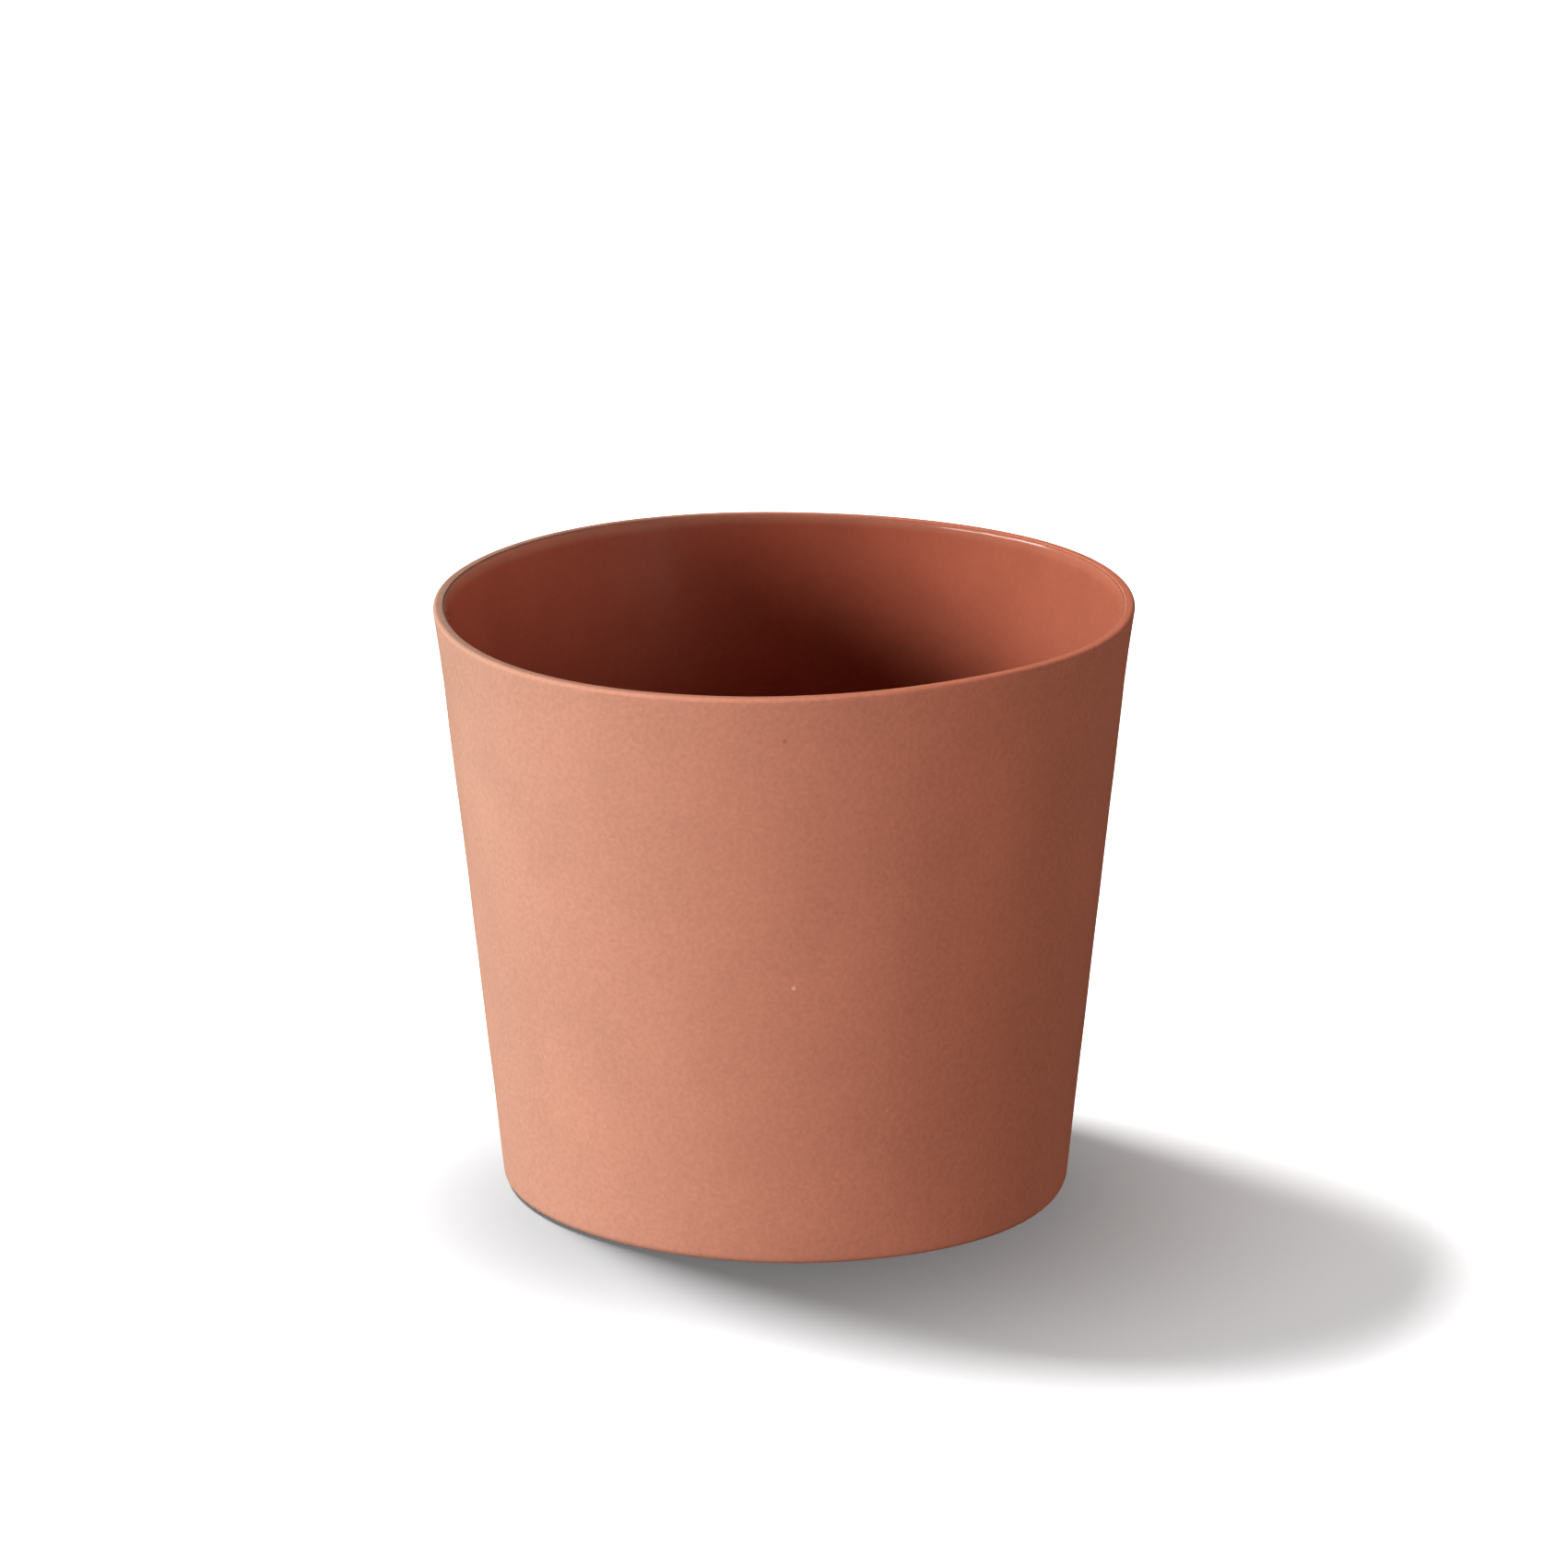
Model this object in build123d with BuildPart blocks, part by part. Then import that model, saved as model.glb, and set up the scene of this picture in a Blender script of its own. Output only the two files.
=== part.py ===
from build123d import *
from math import atan2, cos, degrees, radians, sin, tan
import os

# Handleless cup, slip-cast in one pour: bare clay outside, a clear glaze inside.
# Millimetres, +Z up, origin at the middle of the foot, on the surface that the cup stands on.
# Outlines are drawn as (distance from the axis, height) and turned about the axis.

# Outside of the clay: a straight taper that runs into a slight flare under the lip
lip_diameter = 84.0
cup_height = 72.3
foot_diameter = 68.4
foot_bevel = 0.9
flare_radius = 150.0
flare_angle = 3.0

# Wall, thinning upwards to a lip with a flat crest and a rounded outer edge
wall_thickness = 2.2  # measured level, at the floor
lip_thickness = 1.1  # measured level, at the crest
lip_edge_radius = 0.7

# Floor, over a foot ring round a shallow recess
floor_thickness = 3.0
ring_width = 4.0
ring_bevel = 0.4
recess_depth = 1.2

# Glaze: a coat over the cavity that stops just under the crest
glaze_thickness = 0.25
glaze_corner_radius = 6.0
glaze_stop = 0.1
glaze_bevel = 0.18

lip_radius = lip_diameter / 2
foot_radius = foot_diameter / 2
floor_height = recess_depth + floor_thickness
wall_lean = degrees(atan2(lip_radius - foot_radius, cup_height))

# The outer edge of the lip is an arc about lip_centre, and the flare one about flare_centre
outwards = Vector(1, 0).rotate(Axis.Z, -wall_lean - flare_angle)
lip_centre = Vector(lip_radius, cup_height) - Vector(lip_edge_radius, lip_edge_radius)
lip_side = lip_centre + outwards * lip_edge_radius
lip_crest = lip_centre + Vector(0, lip_edge_radius)
flare_centre = lip_side + outwards * flare_radius

# Corners of the outlines before they are bevelled or rounded
foot_corner = Vector(foot_radius, 0)
ring_corner = Vector(foot_radius - ring_width, 0)
wall_at_floor = foot_radius + floor_height * tan(radians(wall_lean))
floor_corner = Vector(wall_at_floor - wall_thickness, floor_height)
crest_corner = Vector(lip_radius - lip_thickness, cup_height)

# Under the glaze the clay's corner has a bevel that touches a circle about the glaze's own
# round corner, so that the coat has its full thickness there too
half_corner = radians(45) + atan2(crest_corner.X - floor_corner.X, crest_corner.Y - floor_corner.Y) / 2
bed_radius = glaze_corner_radius + glaze_thickness
floor_bevel = bed_radius * (1 / sin(half_corner) - 1) / cos(half_corner)


def nearest(section, point):
    """The vertex of a section that lies nearest to a point."""
    return section.vertices().sort_by_distance(point)[0]


with BuildPart() as clay_body:
    with BuildSketch(Plane.XZ) as clay_section:
        with BuildLine():
            flare_circle = CenterArc(flare_centre, flare_radius, 0, 360, mode=Mode.PRIVATE)
            tapers = ConstrainedLines(flare_circle, foot_corner, mode=Mode.PRIVATE)
            taper = tapers.edges().sort_by(Axis.Y)[-1]
            Line(foot_corner, taper @ 0)
            TangentArc(taper @ 0, lip_side, tangent=taper @ 0 - taper @ 1)
            TangentArc(lip_crest, lip_side, tangent=(1, 0))
            Polyline(
                lip_crest,
                crest_corner,
                floor_corner,
                (0, floor_height),
                (0, recess_depth),
                (ring_corner.X, recess_depth),
                ring_corner,
                foot_corner,
            )
        make_face()
        chamfer(nearest(clay_section, floor_corner), floor_bevel)
        chamfer(nearest(clay_section, foot_corner), foot_bevel)
        chamfer(nearest(clay_section, ring_corner), ring_bevel)
    revolve(axis=Axis.Z)
clay_body.part.label = "clay_body"

with BuildPart() as inner_glaze:
    with BuildSketch(Plane.XZ) as glaze_section:
        with BuildLine():
            cavity_wall = Line(floor_corner, crest_corner, mode=Mode.PRIVATE)
            glaze_end = crest_corner - cavity_wall % 1 * glaze_stop
            Polyline((0, floor_height), floor_corner, glaze_end)
            offset(amount=glaze_thickness, side=Side.LEFT)
        make_face()
        face_corner = floor_corner + Vector(-glaze_thickness, glaze_thickness)
        end_corner = glaze_end + Vector(-glaze_thickness, 0)
        fillet(nearest(glaze_section, face_corner), glaze_corner_radius)
        chamfer(nearest(glaze_section, end_corner), glaze_bevel)
        add(clay_section.sketch_local, mode=Mode.SUBTRACT)
    revolve(axis=Axis.Z)
inner_glaze.part.label = "inner_glaze"

os.makedirs("parts", exist_ok=True)
export_step(clay_body.part, "parts/clay_body.step")
export_step(inner_glaze.part, "parts/inner_glaze.step")
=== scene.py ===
from math import atan2, cos, degrees, pi, radians, sin, tan

import bpy
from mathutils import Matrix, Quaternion, Vector


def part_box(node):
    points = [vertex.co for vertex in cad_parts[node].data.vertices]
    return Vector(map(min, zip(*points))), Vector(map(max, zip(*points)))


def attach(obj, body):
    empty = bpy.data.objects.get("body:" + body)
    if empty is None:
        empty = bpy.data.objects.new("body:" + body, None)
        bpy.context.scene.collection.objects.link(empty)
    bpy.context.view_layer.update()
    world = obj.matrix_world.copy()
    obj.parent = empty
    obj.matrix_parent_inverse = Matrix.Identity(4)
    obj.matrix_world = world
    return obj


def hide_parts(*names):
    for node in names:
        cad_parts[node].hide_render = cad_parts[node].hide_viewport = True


# A handleless cup, slip-cast in one pour: bare biscuit clay outside, a clear gloss glaze inside.
# Sizes in the dictionaries are millimetres, and mm turns them to Blender's metres.
# An outline is a list of corners, each with (distance from the axis, height, rounding radius),
# drawn on the XZ plane and spun round Z.

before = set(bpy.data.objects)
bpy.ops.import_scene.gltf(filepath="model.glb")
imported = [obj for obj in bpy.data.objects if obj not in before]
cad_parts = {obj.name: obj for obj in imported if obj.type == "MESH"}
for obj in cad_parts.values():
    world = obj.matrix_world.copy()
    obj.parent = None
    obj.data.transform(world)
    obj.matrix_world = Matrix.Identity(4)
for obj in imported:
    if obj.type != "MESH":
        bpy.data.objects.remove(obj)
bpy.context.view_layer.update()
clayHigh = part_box("clay_body")[1]
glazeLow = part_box("inner_glaze")[0]
mm = 0.001
lipRadius = clayHigh.x / mm
cupHeight = clayHigh.z / mm
floorHeight = glazeLow.z / mm  # top of the clay floor, where the glaze begins
print("frame loaded:", len(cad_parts), "nodes, lip radius", round(lipRadius, 2),
      "height", round(cupHeight, 2))

weldDistance = 0.001  # vertices nearer than this are one
roundingStep = 9  # degrees that each edge of a rounding turns
longEdge = 8.0  # only edges longer than this are cut up
lipMargin = 0.1  # and none that comes this near to the lip's height


def startFresh():
    # object mode with nothing selected
    if bpy.context.object and bpy.context.object.mode != "OBJECT":
        bpy.ops.object.mode_set(mode="OBJECT")
    bpy.ops.object.select_all(action="DESELECT")


def pickVertices(piece, test):
    # selects, in edit mode, the vertices whose place passes the test
    bpy.ops.object.mode_set(mode="OBJECT")
    for part in (piece.data.vertices, piece.data.edges, piece.data.polygons):
        part.foreach_set("select", [False] * len(part))
    for vertex in piece.data.vertices:
        vertex.select = test(vertex.co)
    bpy.ops.object.mode_set(mode="EDIT")


def cutLength(before, corner, after, rounding):
    # how far from a corner its rounding starts, along each of its two sides
    toBefore = (before - corner).normalized()
    toAfter = (after - corner).normalized()
    return rounding * mm / tan(toBefore.angle(toAfter) / 2)


def drawOutline(name, corners):
    # one vertex is extruded from corner to corner, then the corners are rounded by vertex bevels
    startFresh()
    places = [Vector((radius * mm, 0, height * mm)) for radius, height, rounding in corners]
    bpy.ops.mesh.primitive_plane_add(size=mm, location=places[0])
    piece = bpy.context.object
    piece.name = piece.data.name = name
    bpy.ops.object.transform_apply(location=True, rotation=True, scale=True)
    bpy.ops.object.mode_set(mode="EDIT")
    bpy.ops.mesh.select_mode(type="VERT")
    bpy.ops.mesh.select_all(action="SELECT")
    bpy.ops.mesh.merge(type="CENTER")
    for before, after in zip(places, places[1:]):
        bpy.ops.mesh.extrude_region_move(TRANSFORM_OT_translate={"value": after - before})
    # the first and the last corner lie on the axis and stay sharp
    for n in range(1, len(places) - 1):
        rounding = corners[n][2]
        if rounding:
            before, corner, after = places[n - 1:n + 2]
            turn = pi - (before - corner).angle(after - corner)
            pickVertices(piece, lambda co: (co - corner).length < weldDistance * mm)
            bpy.ops.mesh.bevel(
                offset=cutLength(before, corner, after, rounding),
                affect="VERTICES",
                segments=max(2, round(turn / radians(roundingStep))),
                profile=0.5,  # a true arc
            )
    return piece


def cutLongEdges(piece, low, high, cuts):
    # cuts up the outline's long edges that lie between two heights, so that they can bend
    bpy.ops.object.mode_set(mode="EDIT")
    bpy.ops.mesh.select_mode(type="EDGE")
    bpy.ops.mesh.select_all(action="DESELECT")
    bpy.ops.object.mode_set(mode="OBJECT")
    for edge in piece.data.edges:
        ends = [piece.data.vertices[n].co for n in edge.vertices]
        heights = sorted(co.z / mm for co in ends)
        isLong = (ends[0] - ends[1]).length > longEdge * mm
        edge.select = isLong and heights[0] > low and heights[1] < high
    bpy.ops.object.mode_set(mode="EDIT")
    bpy.ops.mesh.subdivide(number_cuts=cuts)
    bpy.ops.mesh.select_mode(type="VERT")


def spinRound(piece, steps):
    # the first and last corners lie on the axis, so the spun outline closes there
    bpy.ops.object.mode_set(mode="EDIT")
    bpy.ops.mesh.select_all(action="SELECT")
    bpy.ops.mesh.spin(steps=steps, angle=2 * pi, center=(0, 0, 0), axis=(0, 0, 1))
    bpy.ops.mesh.select_all(action="SELECT")
    bpy.ops.mesh.remove_doubles(threshold=weldDistance * mm)
    bpy.ops.mesh.normals_make_consistent(inside=False)
    bpy.ops.object.mode_set(mode="OBJECT")
    bpy.ops.object.shade_smooth()
    print(piece.name, "spun:", len(piece.data.polygons), "faces")


def weigh(piece, name, weight):
    # a vertex group whose weights follow from each vertex's distance from the axis and height
    group = piece.vertex_groups.new(name=name)
    for vertex in piece.data.vertices:
        share = weight(vertex.co.xy.length / mm, vertex.co.z / mm)
        group.add([vertex.index], min(1, max(0, share)), "REPLACE")


def waver(piece, size, reach, group, direction="NORMAL"):
    # pushes the group's surface in and out by clouds of that size, by about the reach either way
    clouds = bpy.data.textures.new(piece.name + "Waver", "CLOUDS")
    clouds.noise_scale = size * mm
    clouds.noise_depth = 1
    push = piece.modifiers.new("waver", "DISPLACE")
    push.texture = clouds
    push.texture_coords = "LOCAL"
    push.direction = direction
    push.vertex_group = group
    push.strength = reach * mm / cast["cloudSwing"]
    startFresh()
    bpy.context.view_layer.objects.active = piece
    bpy.ops.object.modifier_apply(modifier=push.name)


def pull(piece, around, height, shift, reach):
    # drags one vertex of the outside with all that lies within reach, softly, as with
    # proportional editing
    place = Vector((sin(radians(around)), -cos(radians(around)), 0)) * piece.dimensions.x / 2
    place.z = height * mm
    nearest = min(piece.data.vertices, key=lambda vertex: (vertex.co - place).length)
    startFresh()
    bpy.context.view_layer.objects.active = piece
    pickVertices(piece, lambda co: co == nearest.co)
    bpy.ops.transform.translate(
        value=[part * mm for part in shift],
        use_proportional_edit=True,
        proportional_edit_falloff="SMOOTH",
        proportional_size=reach * mm,
    )
    bpy.ops.object.mode_set(mode="OBJECT")


def warpCup(piece):
    # both pieces swell and sag alike, as the one cup they are
    weigh(piece, "warp", lambda radius, height: height / cupHeight)
    for direction, (size, reach) in cast["swells"].items():
        waver(piece, size, reach, "warp", direction)
    for around, height, shift, reach in cast["pulls"]:
        pull(piece, around, height, shift, reach)


# The cast's unevenness, which clay and glaze share
cast = {
    "cloudSwing": 0.3,  # how far a cloud texture usually strays from its middle
    # along each axis: size of the swells, and how far they reach at the lip, fading to the foot
    "swells": {"X": (55.0, 0.12), "Y": (47.0, 0.12), "Z": (38.0, 0.07)},
    # where the photographed cup sags or rises: degrees round from the viewer to the right,
    # height, shift and reach
    "pulls": (
        (-50, cupHeight, (0, 0, -0.65), 40),
        (31, cupHeight, (0, 0, 0.42), 28),
        (168, cupHeight, (0, 0, -0.42), 45),
        (-44, 0, (0, 0.9, 0.12), 45),
        (55, 0, (0.3, -0.7, 0), 25),
    ),
}

# The clay cup, biscuit fired
clay = {
    "footRadius": 34.2,
    "footRound": 1.1,
    "ringWidth": 4.0,
    "ringRound": 0.5,
    "recessDepth": 1.2,
    "wallAtFloor": 2.2,
    "wallAtLip": 1.22,
    "crestLean": 1.0,  # degrees that the sponged crest slopes down outwards
    "lipOuterRound": 0.5,
    "ridgeRound": 0.16,  # at the crest's inner edge, the highest line of the cup
    "flareRadius": 150.0,
    "flareAngle": 3.0,
    "cornerRound": 6.25,
    "rimStraight": 1.2,  # from the lip's rounding to the start of the flare
    "spongeSize": 11.0,  # soft hollows left by sponging the outside
    "spongeDepth": 0.035,
    "cutsFrom": 0.5,  # height over which the walls are cut up
    "wallCuts": 40,
    "stepsAround": 300,
}


def facing(degreesUp):
    # a side's direction in the section, by how far it faces up from straight outwards
    return Vector((cos(radians(degreesUp)), sin(radians(degreesUp))))


def cornerAround(centre, rounding, side, otherSide):
    # where two sides of the section would meet that both touch a rounding circle
    return centre + (side + otherSide) * rounding / (1 + side.dot(otherSide))


wallLean = atan2(lipRadius - clay["footRadius"], cupHeight)
rimLean = wallLean + radians(clay["flareAngle"])
wallAtFloorX = clay["footRadius"] + floorHeight * tan(wallLean) - clay["wallAtFloor"]
cavityCorner = (wallAtFloorX, floorHeight)
innerFace = lipRadius - clay["wallAtLip"]
innerLean = atan2(innerFace - cavityCorner[0], cupHeight - floorHeight)

# the lip's two rounding circles: the ridge touches the inner wall, and the crest touches both
outerSide = facing(-degrees(rimLean))
crestSide = facing(90 - clay["crestLean"])
innerSide = facing(180 - degrees(innerLean))
ridgeAside = clay["ridgeRound"] * (1 - sin(innerLean)) / cos(innerLean)
ridgeCentre = Vector((innerFace + ridgeAside, cupHeight - clay["ridgeRound"]))
outerAside = lipRadius - clay["lipOuterRound"] - ridgeCentre.x
# both circles lie as deep under the crest's line as their radii
roundsApart = clay["lipOuterRound"] - clay["ridgeRound"]
outerBelow = (roundsApart + crestSide.x * outerAside) / crestSide.y
outerCentre = ridgeCentre + Vector((outerAside, -outerBelow))
lipCorner = cornerAround(outerCentre, clay["lipOuterRound"], outerSide, crestSide)
ridgeCorner = cornerAround(ridgeCentre, clay["ridgeRound"], crestSide, innerSide)
# the flare's corner: where the straight taper and the leaning rim would meet
flareDown = clay["flareRadius"] * tan(radians(clay["flareAngle"]) / 2) + clay["rimStraight"]
flareCorner = (lipCorner.x - flareDown * sin(rimLean), lipCorner.y - flareDown * cos(rimLean))


def cavityRadius(height):
    # distance from the axis to the clay's wall inside, at a height
    share = (height - floorHeight) / (cupHeight - floorHeight)
    return cavityCorner[0] + (innerFace - cavityCorner[0]) * share


def outsideShare(radius, height):
    # 1 on the outside of the wall, falling to 0 at foot and lip, and 0 inside
    onOutside = radius > cavityRadius(height) + clay["wallAtLip"] / 2
    return onOutside * min(height / clay["spongeSize"], (cupHeight - height) / clay["spongeSize"])


clayOutline = [
    (0, clay["recessDepth"], 0),
    (clay["footRadius"] - clay["ringWidth"], clay["recessDepth"], clay["ringRound"]),
    (clay["footRadius"] - clay["ringWidth"], 0, clay["ringRound"]),
    (clay["footRadius"], 0, clay["footRound"]),
    (*flareCorner, clay["flareRadius"]),
    (*lipCorner, clay["lipOuterRound"]),
    (*ridgeCorner, clay["ridgeRound"]),
    (*cavityCorner, clay["cornerRound"]),
    (0, floorHeight, 0),
]
clayCup = drawOutline("clayCup", clayOutline)
cutLongEdges(clayCup, clay["cutsFrom"], cupHeight - lipMargin, clay["wallCuts"])
spinRound(clayCup, clay["stepsAround"])
weigh(clayCup, "outside", outsideShare)
waver(clayCup, clay["spongeSize"], clay["spongeDepth"], "outside")
warpCup(clayCup)
print("clayCup sponged and warped")

# The glaze: a closed coat with its back just inside the clay. It runs thin at the lip.
glaze = {
    "thickness": 0.25,
    "backInClay": 0.08,
    "cornerRound": 6.0,
    "bareLip": 1.04,  # from the cup's outer edge to the edge of the glaze
    "edgeDrop": 0.1,  # it stops just inside the ridge, and that much lower
    "thinThickness": 0.15,  # at the lip
    "thinRound": 0.2,
    "fullDrop": 0.5,  # where it reaches its full thickness, below the ridge
    "fullRound": 0.8,
    "edgeRound": 0.02,
    "edgeDepth": 0.6,  # of its back, hidden in the clay
    "poolSize": 9.0,  # gentle unevenness of the whole coat
    "poolDepth": 0.02,
    "runSize": 3.5,  # livelier unevenness of its upper edge, where it ran
    "runDepth": 0.03,
    "runReach": 3.0,
    "cutsFrom": 2.0,  # height over the floor from which the wall is cut up
    "wallCuts": 40,
    "stepsAround": 360,
}

faceFloor = floorHeight + glaze["thickness"]
backFloor = floorHeight - glaze["backInClay"]
fullHeight = cupHeight - glaze["fullDrop"]
edgeHeight = cupHeight - glaze["edgeDrop"]
edgeRadius = lipRadius - glaze["bareLip"]
glazeOutline = [
    (0, faceFloor, 0),
    (cavityCorner[0] - glaze["thickness"], faceFloor, glaze["cornerRound"]),
    (cavityRadius(fullHeight) - glaze["thickness"], fullHeight, glaze["fullRound"]),
    (innerFace - glaze["thinThickness"], edgeHeight, glaze["thinRound"]),
    (edgeRadius, edgeHeight, glaze["edgeRound"]),
    (edgeRadius, cupHeight - glaze["edgeDepth"], 0),
    (cavityCorner[0] + glaze["backInClay"], backFloor, glaze["cornerRound"]),
    (0, backFloor, 0),
]


def faceShare(radius, height):
    # 1 on the glaze's visible face, falling to 0 at its edge, and 0 on its back
    onWall = radius < cavityRadius(height) - glaze["thinThickness"] / 2
    onFace = onWall and height > floorHeight + glaze["thickness"] / 2
    return onFace * max(0, min(1, (cupHeight - height) / glaze["fullDrop"]))


def runShare(radius, height):
    # strongest near the lip, and none from the run's reach down
    return faceShare(radius, height) * (1 - (cupHeight - height) / glaze["runReach"])


glazeCoat = drawOutline("glazeCoat", glazeOutline)
cutLongEdges(glazeCoat, floorHeight + glaze["cutsFrom"], cupHeight - lipMargin, glaze["wallCuts"])
spinRound(glazeCoat, glaze["stepsAround"])
weigh(glazeCoat, "face", faceShare)
weigh(glazeCoat, "run", runShare)
waver(glazeCoat, glaze["poolSize"], glaze["poolDepth"], "face")
waver(glazeCoat, glaze["runSize"], glaze["runDepth"], "run")
warpCup(glazeCoat)
print("glazeCoat run and warped")


def toLinear(hexColour):
    # an sRGB colour as Blender's linear one
    parts = [int(hexColour[n:n + 2], 16) / 255 for n in (1, 3, 5)]
    return [
        part / 12.92 if part <= 0.04045 else ((part + 0.055) / 1.055) ** 2.4
        for part in parts
    ] + [1]


def addNode(tree, kind, settings={}, values={}, links={}):
    # adds a node with its settings and input values, and links other nodes' outputs into it
    node = tree.nodes.new(kind)
    for name, value in settings.items():
        setattr(node, name, value)
    for name, value in values.items():
        node.inputs[name].default_value = value
    for name, socket in links.items():
        tree.links.new(socket, node.inputs[name])
    return node


def addNoise(tree, place, size, detail):
    # a cloudy pattern whose blotches are about that size
    noise = addNode(tree, "ShaderNodeTexNoise", values={"Scale": 1 / (size * mm), "Detail": detail},
                    links={"Vector": place})
    return noise.outputs["Fac"]


noiseSpan = (0.25, 0.75)  # nearly all of a noise pattern's values lie between these


def addRange(tree, pattern, middle, swing):
    # turns a noise pattern into values that stray from the middle by about the swing
    low, high = noiseSpan
    spread = addNode(tree, "ShaderNodeMapRange",
                     values={"From Min": low, "From Max": high,
                             "To Min": middle - swing, "To Max": middle + swing},
                     links={"Value": pattern})
    return spread.outputs["Result"]


def newMaterial(name):
    material = bpy.data.materials.new(name)
    material.use_nodes = True
    material.node_tree.nodes.clear()
    return material, material.node_tree


biscuitClay = {
    "litSideColour": "#A67F6C",  # painted light: the clay as it looks where the light falls, paler, on the left
    # painted shade: the clay as it looks on the shaded right, redder
    "shadedSideColour": "#C47258",
    "shadedSideFrom": 23.0,  # how far right of the axis it has fully the shaded side's redder colour
    "grainSize": 0.6,  # real grains are finer, and this is the finest that shows
    "grainDetail": 3.0,
    "grainSwing": 0.085,  # how much a grain is paler or darker than its surroundings
    "patchSize": 12.0,
    "patchDetail": 2.0,
    "patchSwing": 0.045,
    "roughness": 0.85,
    "roughnessSwing": 0.1,
    "specular": 0.1,
    "reliefDepth": 0.04,
    "speckSpacing": 4.0,
    "speckRadius": 0.14,
    "speckShare": 0.85,  # of the cells that have no speck of a colour
    "speckStrength": 0.3,
    "paleSpeck": "#DDB39C",
    "darkSpeck": "#774030",
    # the specks that show in the photograph: place, radius, colour and strength
    "seenSpecks": (
        ((1.0, -38.0, 35.9), 0.36, "paleSpeck", 1.0),
        ((-7.0, -35.1, 12.9), 0.3, "paleSpeck", 0.4),
        ((-14.2, -34.6, 25.9), 0.36, "darkSpeck", 0.5),
        ((0.0, -41.4, 67.0), 0.4, "darkSpeck", 0.5),
    ),
}


def addSpeck(tree, place, centre, radius, strength):
    # a soft round spot about a point
    away = addNode(tree, "ShaderNodeVectorMath", {"operation": "DISTANCE"},
                   {1: [part * mm for part in centre]}, {0: place})
    spot = addNode(tree, "ShaderNodeMapRange",
                   values={"From Min": radius * mm, "From Max": 0, "To Max": strength},
                   links={"Value": away.outputs["Value"]})
    return spot.outputs["Result"]


def makeBiscuitClay():
    # biscuit-fired slip-cast red clay, sponged: matt and finely grained, with painted light that
    # makes it paler on the lit left and redder on the shaded right, and a few pale and dark specks
    # of grog
    material, tree = newMaterial("biscuitFiredSlipCastClay")
    place = addNode(tree, "ShaderNodeTexCoord").outputs["Object"]
    axes = addNode(tree, "ShaderNodeSeparateXYZ", links={"Vector": place})
    # painted light: 0 on the lit left, 1 on the shaded right, for the clay's paler and redder
    # colours
    litToShaded = addNode(tree, "ShaderNodeMapRange",
                    values={"From Min": -lipRadius * mm, "From Max": biscuitClay["shadedSideFrom"] * mm},
                    links={"Value": axes.outputs["X"]})
    base = addNode(tree, "ShaderNodeMix", {"data_type": "RGBA"},
                   {"A": toLinear(biscuitClay["litSideColour"]), "B": toLinear(biscuitClay["shadedSideColour"])},
                   {"Factor": litToShaded.outputs["Result"]})
    grain = addNoise(tree, place, biscuitClay["grainSize"], biscuitClay["grainDetail"])
    patches = addNoise(tree, place, biscuitClay["patchSize"], biscuitClay["patchDetail"])
    tone = addNode(tree, "ShaderNodeMath", {"operation": "MULTIPLY"},
                   links={0: addRange(tree, grain, 1, biscuitClay["grainSwing"]),
                          1: addRange(tree, patches, 1, biscuitClay["patchSwing"])})
    toned = addNode(tree, "ShaderNodeHueSaturation",
                    links={"Color": base.outputs["Result"], "Value": tone.outputs["Value"]})

    # specks in some cells of a cell pattern, and those that show in the photograph
    cells = addNode(tree, "ShaderNodeTexVoronoi",
                    values={"Scale": 1 / (biscuitClay["speckSpacing"] * mm)},
                    links={"Vector": place})
    chance = addNode(tree, "ShaderNodeSeparateColor", links={"Color": cells.outputs["Color"]})
    inSpeck = addNode(tree, "ShaderNodeMath", {"operation": "LESS_THAN"},
                      {1: biscuitClay["speckRadius"] / biscuitClay["speckSpacing"]},
                      {0: cells.outputs["Distance"]})
    colour = toned.outputs["Color"]
    for kind, channel in (("paleSpeck", "Red"), ("darkSpeck", "Green")):
        chosen = addNode(tree, "ShaderNodeMath", {"operation": "GREATER_THAN"},
                         {1: biscuitClay["speckShare"]}, {0: chance.outputs[channel]})
        both = addNode(tree, "ShaderNodeMath", {"operation": "MULTIPLY"},
                       links={0: chosen.outputs["Value"], 1: inSpeck.outputs["Value"]})
        spot = addNode(tree, "ShaderNodeMath", {"operation": "MULTIPLY"},
                       {1: biscuitClay["speckStrength"]}, {0: both.outputs["Value"]})
        for centre, radius, speckKind, strength in biscuitClay["seenSpecks"]:
            if speckKind == kind:
                seen = addSpeck(tree, place, centre, radius, strength)
                spot = addNode(tree, "ShaderNodeMath", {"operation": "MAXIMUM"},
                               links={0: spot.outputs["Value"], 1: seen})
        speckled = addNode(tree, "ShaderNodeMix", {"data_type": "RGBA"},
                           {"B": toLinear(biscuitClay[kind])},
                           {"Factor": spot.outputs["Value"], "A": colour})
        colour = speckled.outputs["Result"]

    relief = addNode(tree, "ShaderNodeBump", values={"Distance": biscuitClay["reliefDepth"] * mm},
                     links={"Height": grain})
    roughness = addRange(tree, patches, biscuitClay["roughness"], biscuitClay["roughnessSwing"])
    surface = addNode(tree, "ShaderNodeBsdfPrincipled",
                      values={"Specular IOR Level": biscuitClay["specular"]},
                      links={"Base Color": colour, "Normal": relief.outputs["Normal"],
                             "Roughness": roughness})
    addNode(tree, "ShaderNodeOutputMaterial", links={"Surface": surface.outputs["BSDF"]})
    return material


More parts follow.
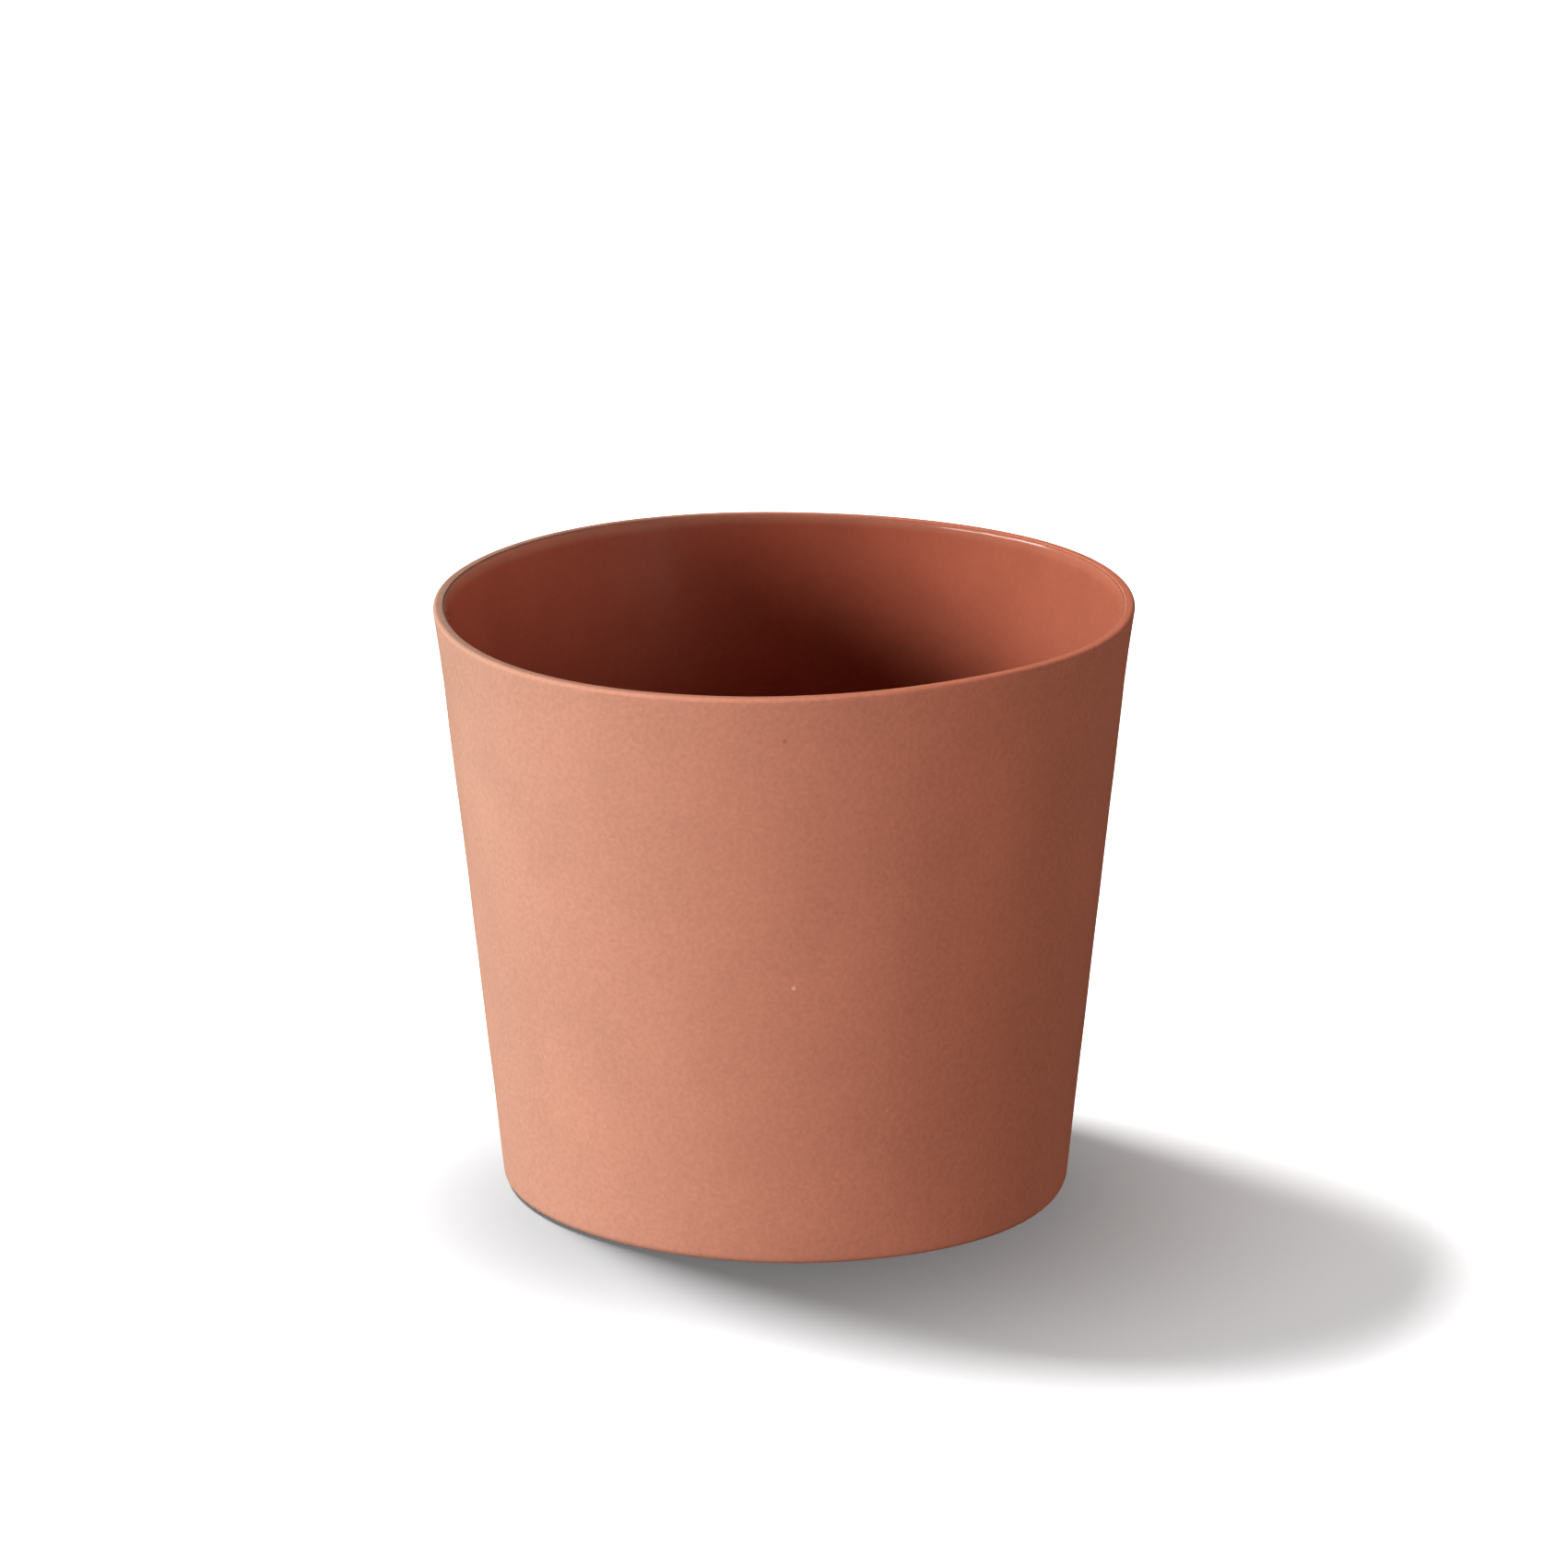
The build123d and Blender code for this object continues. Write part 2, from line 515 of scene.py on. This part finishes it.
clearGlaze = {
    # painted shade: the glaze as it looks on the shaded left and middle of the inside
    "shadeColour": "#C06149",
    "litColour": "#C27057",  # painted light: the glaze as it looks on the lit right of the inside
    "edgeColour": "#CC7A60",  # paler where the coat thins out at the lip, and partly painted light on that band, which faces up
    "edgeReach": 0.8,  # how far down the thin coat keeps that colour
    "edgeFade": 1.9,  # and where it has faded out
    "cloudSize": 7.0,
    "cloudDetail": 2.0,
    "cloudSwing": 0.05,
    "grainSwing": 0.04,  # the clay's grain, seen through the coat
    "roughness": 0.13,
    "roughnessSwing": 0.03,
    "peelSize": 1.6,  # orange peel
    "peelDetail": 1.0,
    "peelDepth": 0.004,
}


def makeClearGlaze():
    # clear gloss glaze over red clay: the clay looks wet and darker through it, paler where the
    # coat is thin, and the surface mirrors softly with a faint orange peel; painted light makes
    # the inside paler on its lit right and in the band just under the lip
    material, tree = newMaterial("clearGlossGlazeOverRedClay")
    place = addNode(tree, "ShaderNodeTexCoord").outputs["Object"]
    axes = addNode(tree, "ShaderNodeSeparateXYZ", links={"Vector": place})
    # the thin coat's band under the lip, drawn paler: partly thin glaze, partly painted light
    thin = addNode(tree, "ShaderNodeMapRange", {"interpolation_type": "SMOOTHSTEP"},
                   {"From Min": (cupHeight - clearGlaze["edgeFade"]) * mm,
                    "From Max": (cupHeight - clearGlaze["edgeReach"]) * mm},
                   {"Value": axes.outputs["Z"]})
    # painted light: from the shaded colour at the axis to the lit colour at the right
    across = addNode(tree, "ShaderNodeMapRange", values={"From Max": lipRadius * mm},
                     links={"Value": axes.outputs["X"]})
    coat = addNode(tree, "ShaderNodeMix", {"data_type": "RGBA"},
                   {"A": toLinear(clearGlaze["shadeColour"]),
                    "B": toLinear(clearGlaze["litColour"])},
                   {"Factor": across.outputs["Result"]})
    base = addNode(tree, "ShaderNodeMix", {"data_type": "RGBA"},
                   {"B": toLinear(clearGlaze["edgeColour"])},
                   {"Factor": thin.outputs["Result"], "A": coat.outputs["Result"]})
    clouds = addNoise(tree, place, clearGlaze["cloudSize"], clearGlaze["cloudDetail"])
    grain = addNoise(tree, place, biscuitClay["grainSize"], biscuitClay["grainDetail"])
    tone = addNode(tree, "ShaderNodeMath", {"operation": "MULTIPLY"},
                   links={0: addRange(tree, clouds, 1, clearGlaze["cloudSwing"]),
                          1: addRange(tree, grain, 1, clearGlaze["grainSwing"])})
    toned = addNode(tree, "ShaderNodeHueSaturation",
                    links={"Color": base.outputs["Result"], "Value": tone.outputs["Value"]})
    orangePeel = addNoise(tree, place, clearGlaze["peelSize"], clearGlaze["peelDetail"])
    peel = addNode(tree, "ShaderNodeBump", values={"Distance": clearGlaze["peelDepth"] * mm},
                   links={"Height": orangePeel})
    roughness = addRange(tree, clouds, clearGlaze["roughness"], clearGlaze["roughnessSwing"])
    surface = addNode(tree, "ShaderNodeBsdfPrincipled",
                      links={"Base Color": toned.outputs["Color"], "Normal": peel.outputs["Normal"],
                             "Roughness": roughness})
    addNode(tree, "ShaderNodeOutputMaterial", links={"Surface": surface.outputs["BSDF"]})
    return material


clayCup.data.materials.append(makeBiscuitClay())
glazeCoat.data.materials.append(makeClearGlaze())
print("clay and glaze have their finishes")

for piece, node, slot in ((clayCup, "clay_body", "bare_clay"),
                          (glazeCoat, "inner_glaze", "clear_glaze")):
    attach(piece, "root")
    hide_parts(node)
print("pieces ride on root")


# Floor, lamps, sky and camera
studio = {
    "floorSize": 6.0,  # metres
    "floorBounce": "#595959",  # what the floor sends back to the cup
    # how bright the camera sees the floor: plain at the foot, where the shadow is deepest, and
    # painted brighter further out until it is over-exposed to white, which fades the shadow's far
    # end
    "floorNear": 1.0,
    "floorFar": 2.55,
    "shadowMiddle": (-4.0, -13.1, 0),  # the two reaches are measured from this point
    "nearReach": 16.6,
    "farReach": 80.6,
    "skyColour": "#FFFFFF",
    "skyLevel": 0.03,
    "skyMirrored": 0.15,
}

# each lamp: the group that it lights, its direction from the lip (degrees round from the viewer
# towards the left, degrees up), its width and height in metres, and how bright a white card that
# faces it renders
lamps = {
    # from the left, low, for the cup's lit side and its turn into shade
    "sideSoftbox": {"lights": "cup", "towards": (78, 13), "size": (1.15, 0.5), "level": 0.6,
                    "mirrored": False},
    "rearSoftbox": {"lights": "cup", "towards": (104, 20), "size": (1.0, 0.9), "level": 0.2,
                    "mirrored": False},
    # strips just under the lip's height, which light the outside and stay out of the cup
    "sideStrip": {"lights": "cup", "towards": (60, -0.8), "size": (0.5, 0.07), "level": 0.42},
    "frontStrip": {"lights": "cup", "towards": (38, -0.8), "size": (0.6, 0.07), "level": 0.512},
    "rightStrip": {"lights": "cup", "towards": (-50, -0.8), "size": (1.2, 0.07), "level": 0.154},
    # a broad dim fill for the shaded side
    "rightPanel": {"lights": "cup", "towards": (-60, 12), "size": (2.0, 0.8), "level": 0.242,
                   "away": 1.6, "mirrored": False},
    # the pale crest, the glint under the lip and the pale band beside it
    "crestKey": {"lights": "clay", "towards": (92, 55), "size": (1.0, 0.6), "level": 1.0,
                 "mirrored": False},
    "rimStrip": {"lights": "glaze", "towards": (80, 16), "size": (1.6, 0.24), "level": 0.36},
    "bandStrip": {"lights": "glaze", "towards": (-25, 0.3), "size": (2.6, 0.05), "level": 0.2,
                  "mirrored": False},
    # the floor's own pair: one throws the cup's shadow, the other fills it evenly
    "floorKey": {"lights": "floor", "towards": (130.9, 52.9), "size": (0.75, 0.48), "level": 0.653,
                 "away": 2.42, "turn": 25},
    "floorFill": {"lights": "floor", "towards": (0, 89), "size": (2.0, 2.0), "level": 0.26,
                  "shadow": False},
}


def makeFloor():
    startFresh()
    bpy.ops.mesh.primitive_plane_add(size=studio["floorSize"], location=(0, 0, 0))
    floor = bpy.context.object
    floor.name = "floor"
    material, tree = newMaterial("whitePaperSweep")
    ray = addNode(tree, "ShaderNodeLightPath")
    bounce = addNode(tree, "ShaderNodeBsdfDiffuse",
                     values={"Color": toLinear(studio["floorBounce"])})
    place = addNode(tree, "ShaderNodeTexCoord").outputs["Object"]
    reach = addNode(tree, "ShaderNodeVectorMath", {"operation": "DISTANCE"},
                    {1: [part * mm for part in studio["shadowMiddle"]]}, {0: place})
    # painted light: the floor drawn plain about the foot and brighter away from the shadow's middle
    gain = addNode(tree, "ShaderNodeMapRange", {"interpolation_type": "SMOOTHSTEP"},
                   {"From Min": studio["nearReach"] * mm, "From Max": studio["farReach"] * mm,
                    "To Min": studio["floorNear"], "To Max": studio["floorFar"]},
                   {"Value": reach.outputs["Value"]})
    seen = addNode(tree, "ShaderNodeBsdfDiffuse", links={"Color": gain.outputs["Result"]})
    mix = addNode(tree, "ShaderNodeMixShader",
                  links={0: ray.outputs["Is Camera Ray"], 1: bounce.outputs["BSDF"],
                         2: seen.outputs["BSDF"]})
    addNode(tree, "ShaderNodeOutputMaterial", links={"Surface": mix.outputs["Shader"]})
    floor.data.materials.append(material)
    return floor


def groupOf(name, *members):
    # a collection outside the scene, for the lamps that light its members only
    group = bpy.data.collections.new(name)
    for member in members:
        group.objects.link(member)
    return group


def addLamp(name, lights, towards, size, level, away=2.0, turn=0, shadow=True, mirrored=True):
    # a soft rectangular lamp that faces the lip; turn is about its own axis
    around, up = (radians(angle) for angle in towards)
    direction = Vector((-sin(around) * cos(up), -cos(around) * cos(up), sin(up)))
    lamp = bpy.data.lights.new(name, "AREA")
    lamp.shape = "RECTANGLE"
    lamp.size, lamp.size_y = size
    lamp.energy = level * pi ** 2 * away ** 2  # this makes the card render at the level
    lamp.use_shadow = shadow
    holder = bpy.data.objects.new(name, lamp)
    holder.location = Vector((0, 0, cupHeight * mm)) + direction * away
    facingLip = (-direction).to_track_quat("-Z", "Y")
    holder.rotation_euler = (facingLip @ Quaternion((0, 0, 1), radians(turn))).to_euler()
    holder.visible_glossy = mirrored
    holder.light_linking.receiver_collection = groups[lights]
    bpy.context.scene.collection.objects.link(holder)


def makeSky():
    # a faint even light all round; the camera sees plain white, and the glaze mirrors a soft grey
    world = bpy.data.worlds.new("studio")
    bpy.context.scene.world = world
    world.use_nodes = True
    tree = world.node_tree
    tree.nodes.clear()
    ray = addNode(tree, "ShaderNodeLightPath")
    mirrored = addNode(tree, "ShaderNodeMapRange",
                       values={"To Min": studio["skyLevel"], "To Max": studio["skyMirrored"]},
                       links={"Value": ray.outputs["Is Glossy Ray"]})
    level = addNode(tree, "ShaderNodeMath", {"operation": "MAXIMUM"},
                    links={0: mirrored.outputs["Result"], 1: ray.outputs["Is Camera Ray"]})
    sky = addNode(tree, "ShaderNodeBackground", values={"Color": toLinear(studio["skyColour"])},
                  links={"Strength": level.outputs["Value"]})
    addNode(tree, "ShaderNodeOutputWorld", links={"Surface": sky.outputs["Background"]})


view = {
    "distance": 1008.0,  # from the cup's axis, level
    "aboveLip": 284.75,
    "aside": -0.14,
    "tilt": 16.98,  # degrees below level
    "roll": -0.1,
    "lens": 201.07,
    "sensor": 36.0,
    "clipStart": 50.0,
}


def makeCamera():
    camera = bpy.data.objects.new("camera", bpy.data.cameras.new("camera"))
    camera.data.lens = view["lens"]
    camera.data.sensor_width = view["sensor"]
    camera.data.clip_start = view["clipStart"] * mm
    camera.location = (
        view["aside"] * mm,
        -view["distance"] * mm,
        (cupHeight + view["aboveLip"]) * mm,
    )
    camera.rotation_mode = "ZXY"
    camera.rotation_euler = (radians(90 - view["tilt"]), 0, radians(view["roll"]))
    bpy.context.scene.collection.objects.link(camera)
    bpy.context.scene.camera = camera


groups = {
    "cup": groupOf("cup", clayCup, glazeCoat),
    "clay": groupOf("clay", clayCup),
    "glaze": groupOf("glaze", glazeCoat),
    "floor": groupOf("floorOnly", makeFloor()),
}
for name, lamp in lamps.items():
    addLamp(name, **lamp)
clayCup.visible_diffuse = False  # so that the red clay doesn't tint the white floor
makeSky()
makeCamera()
bpy.context.scene.view_settings.view_transform = "Standard"
print("studio ready")
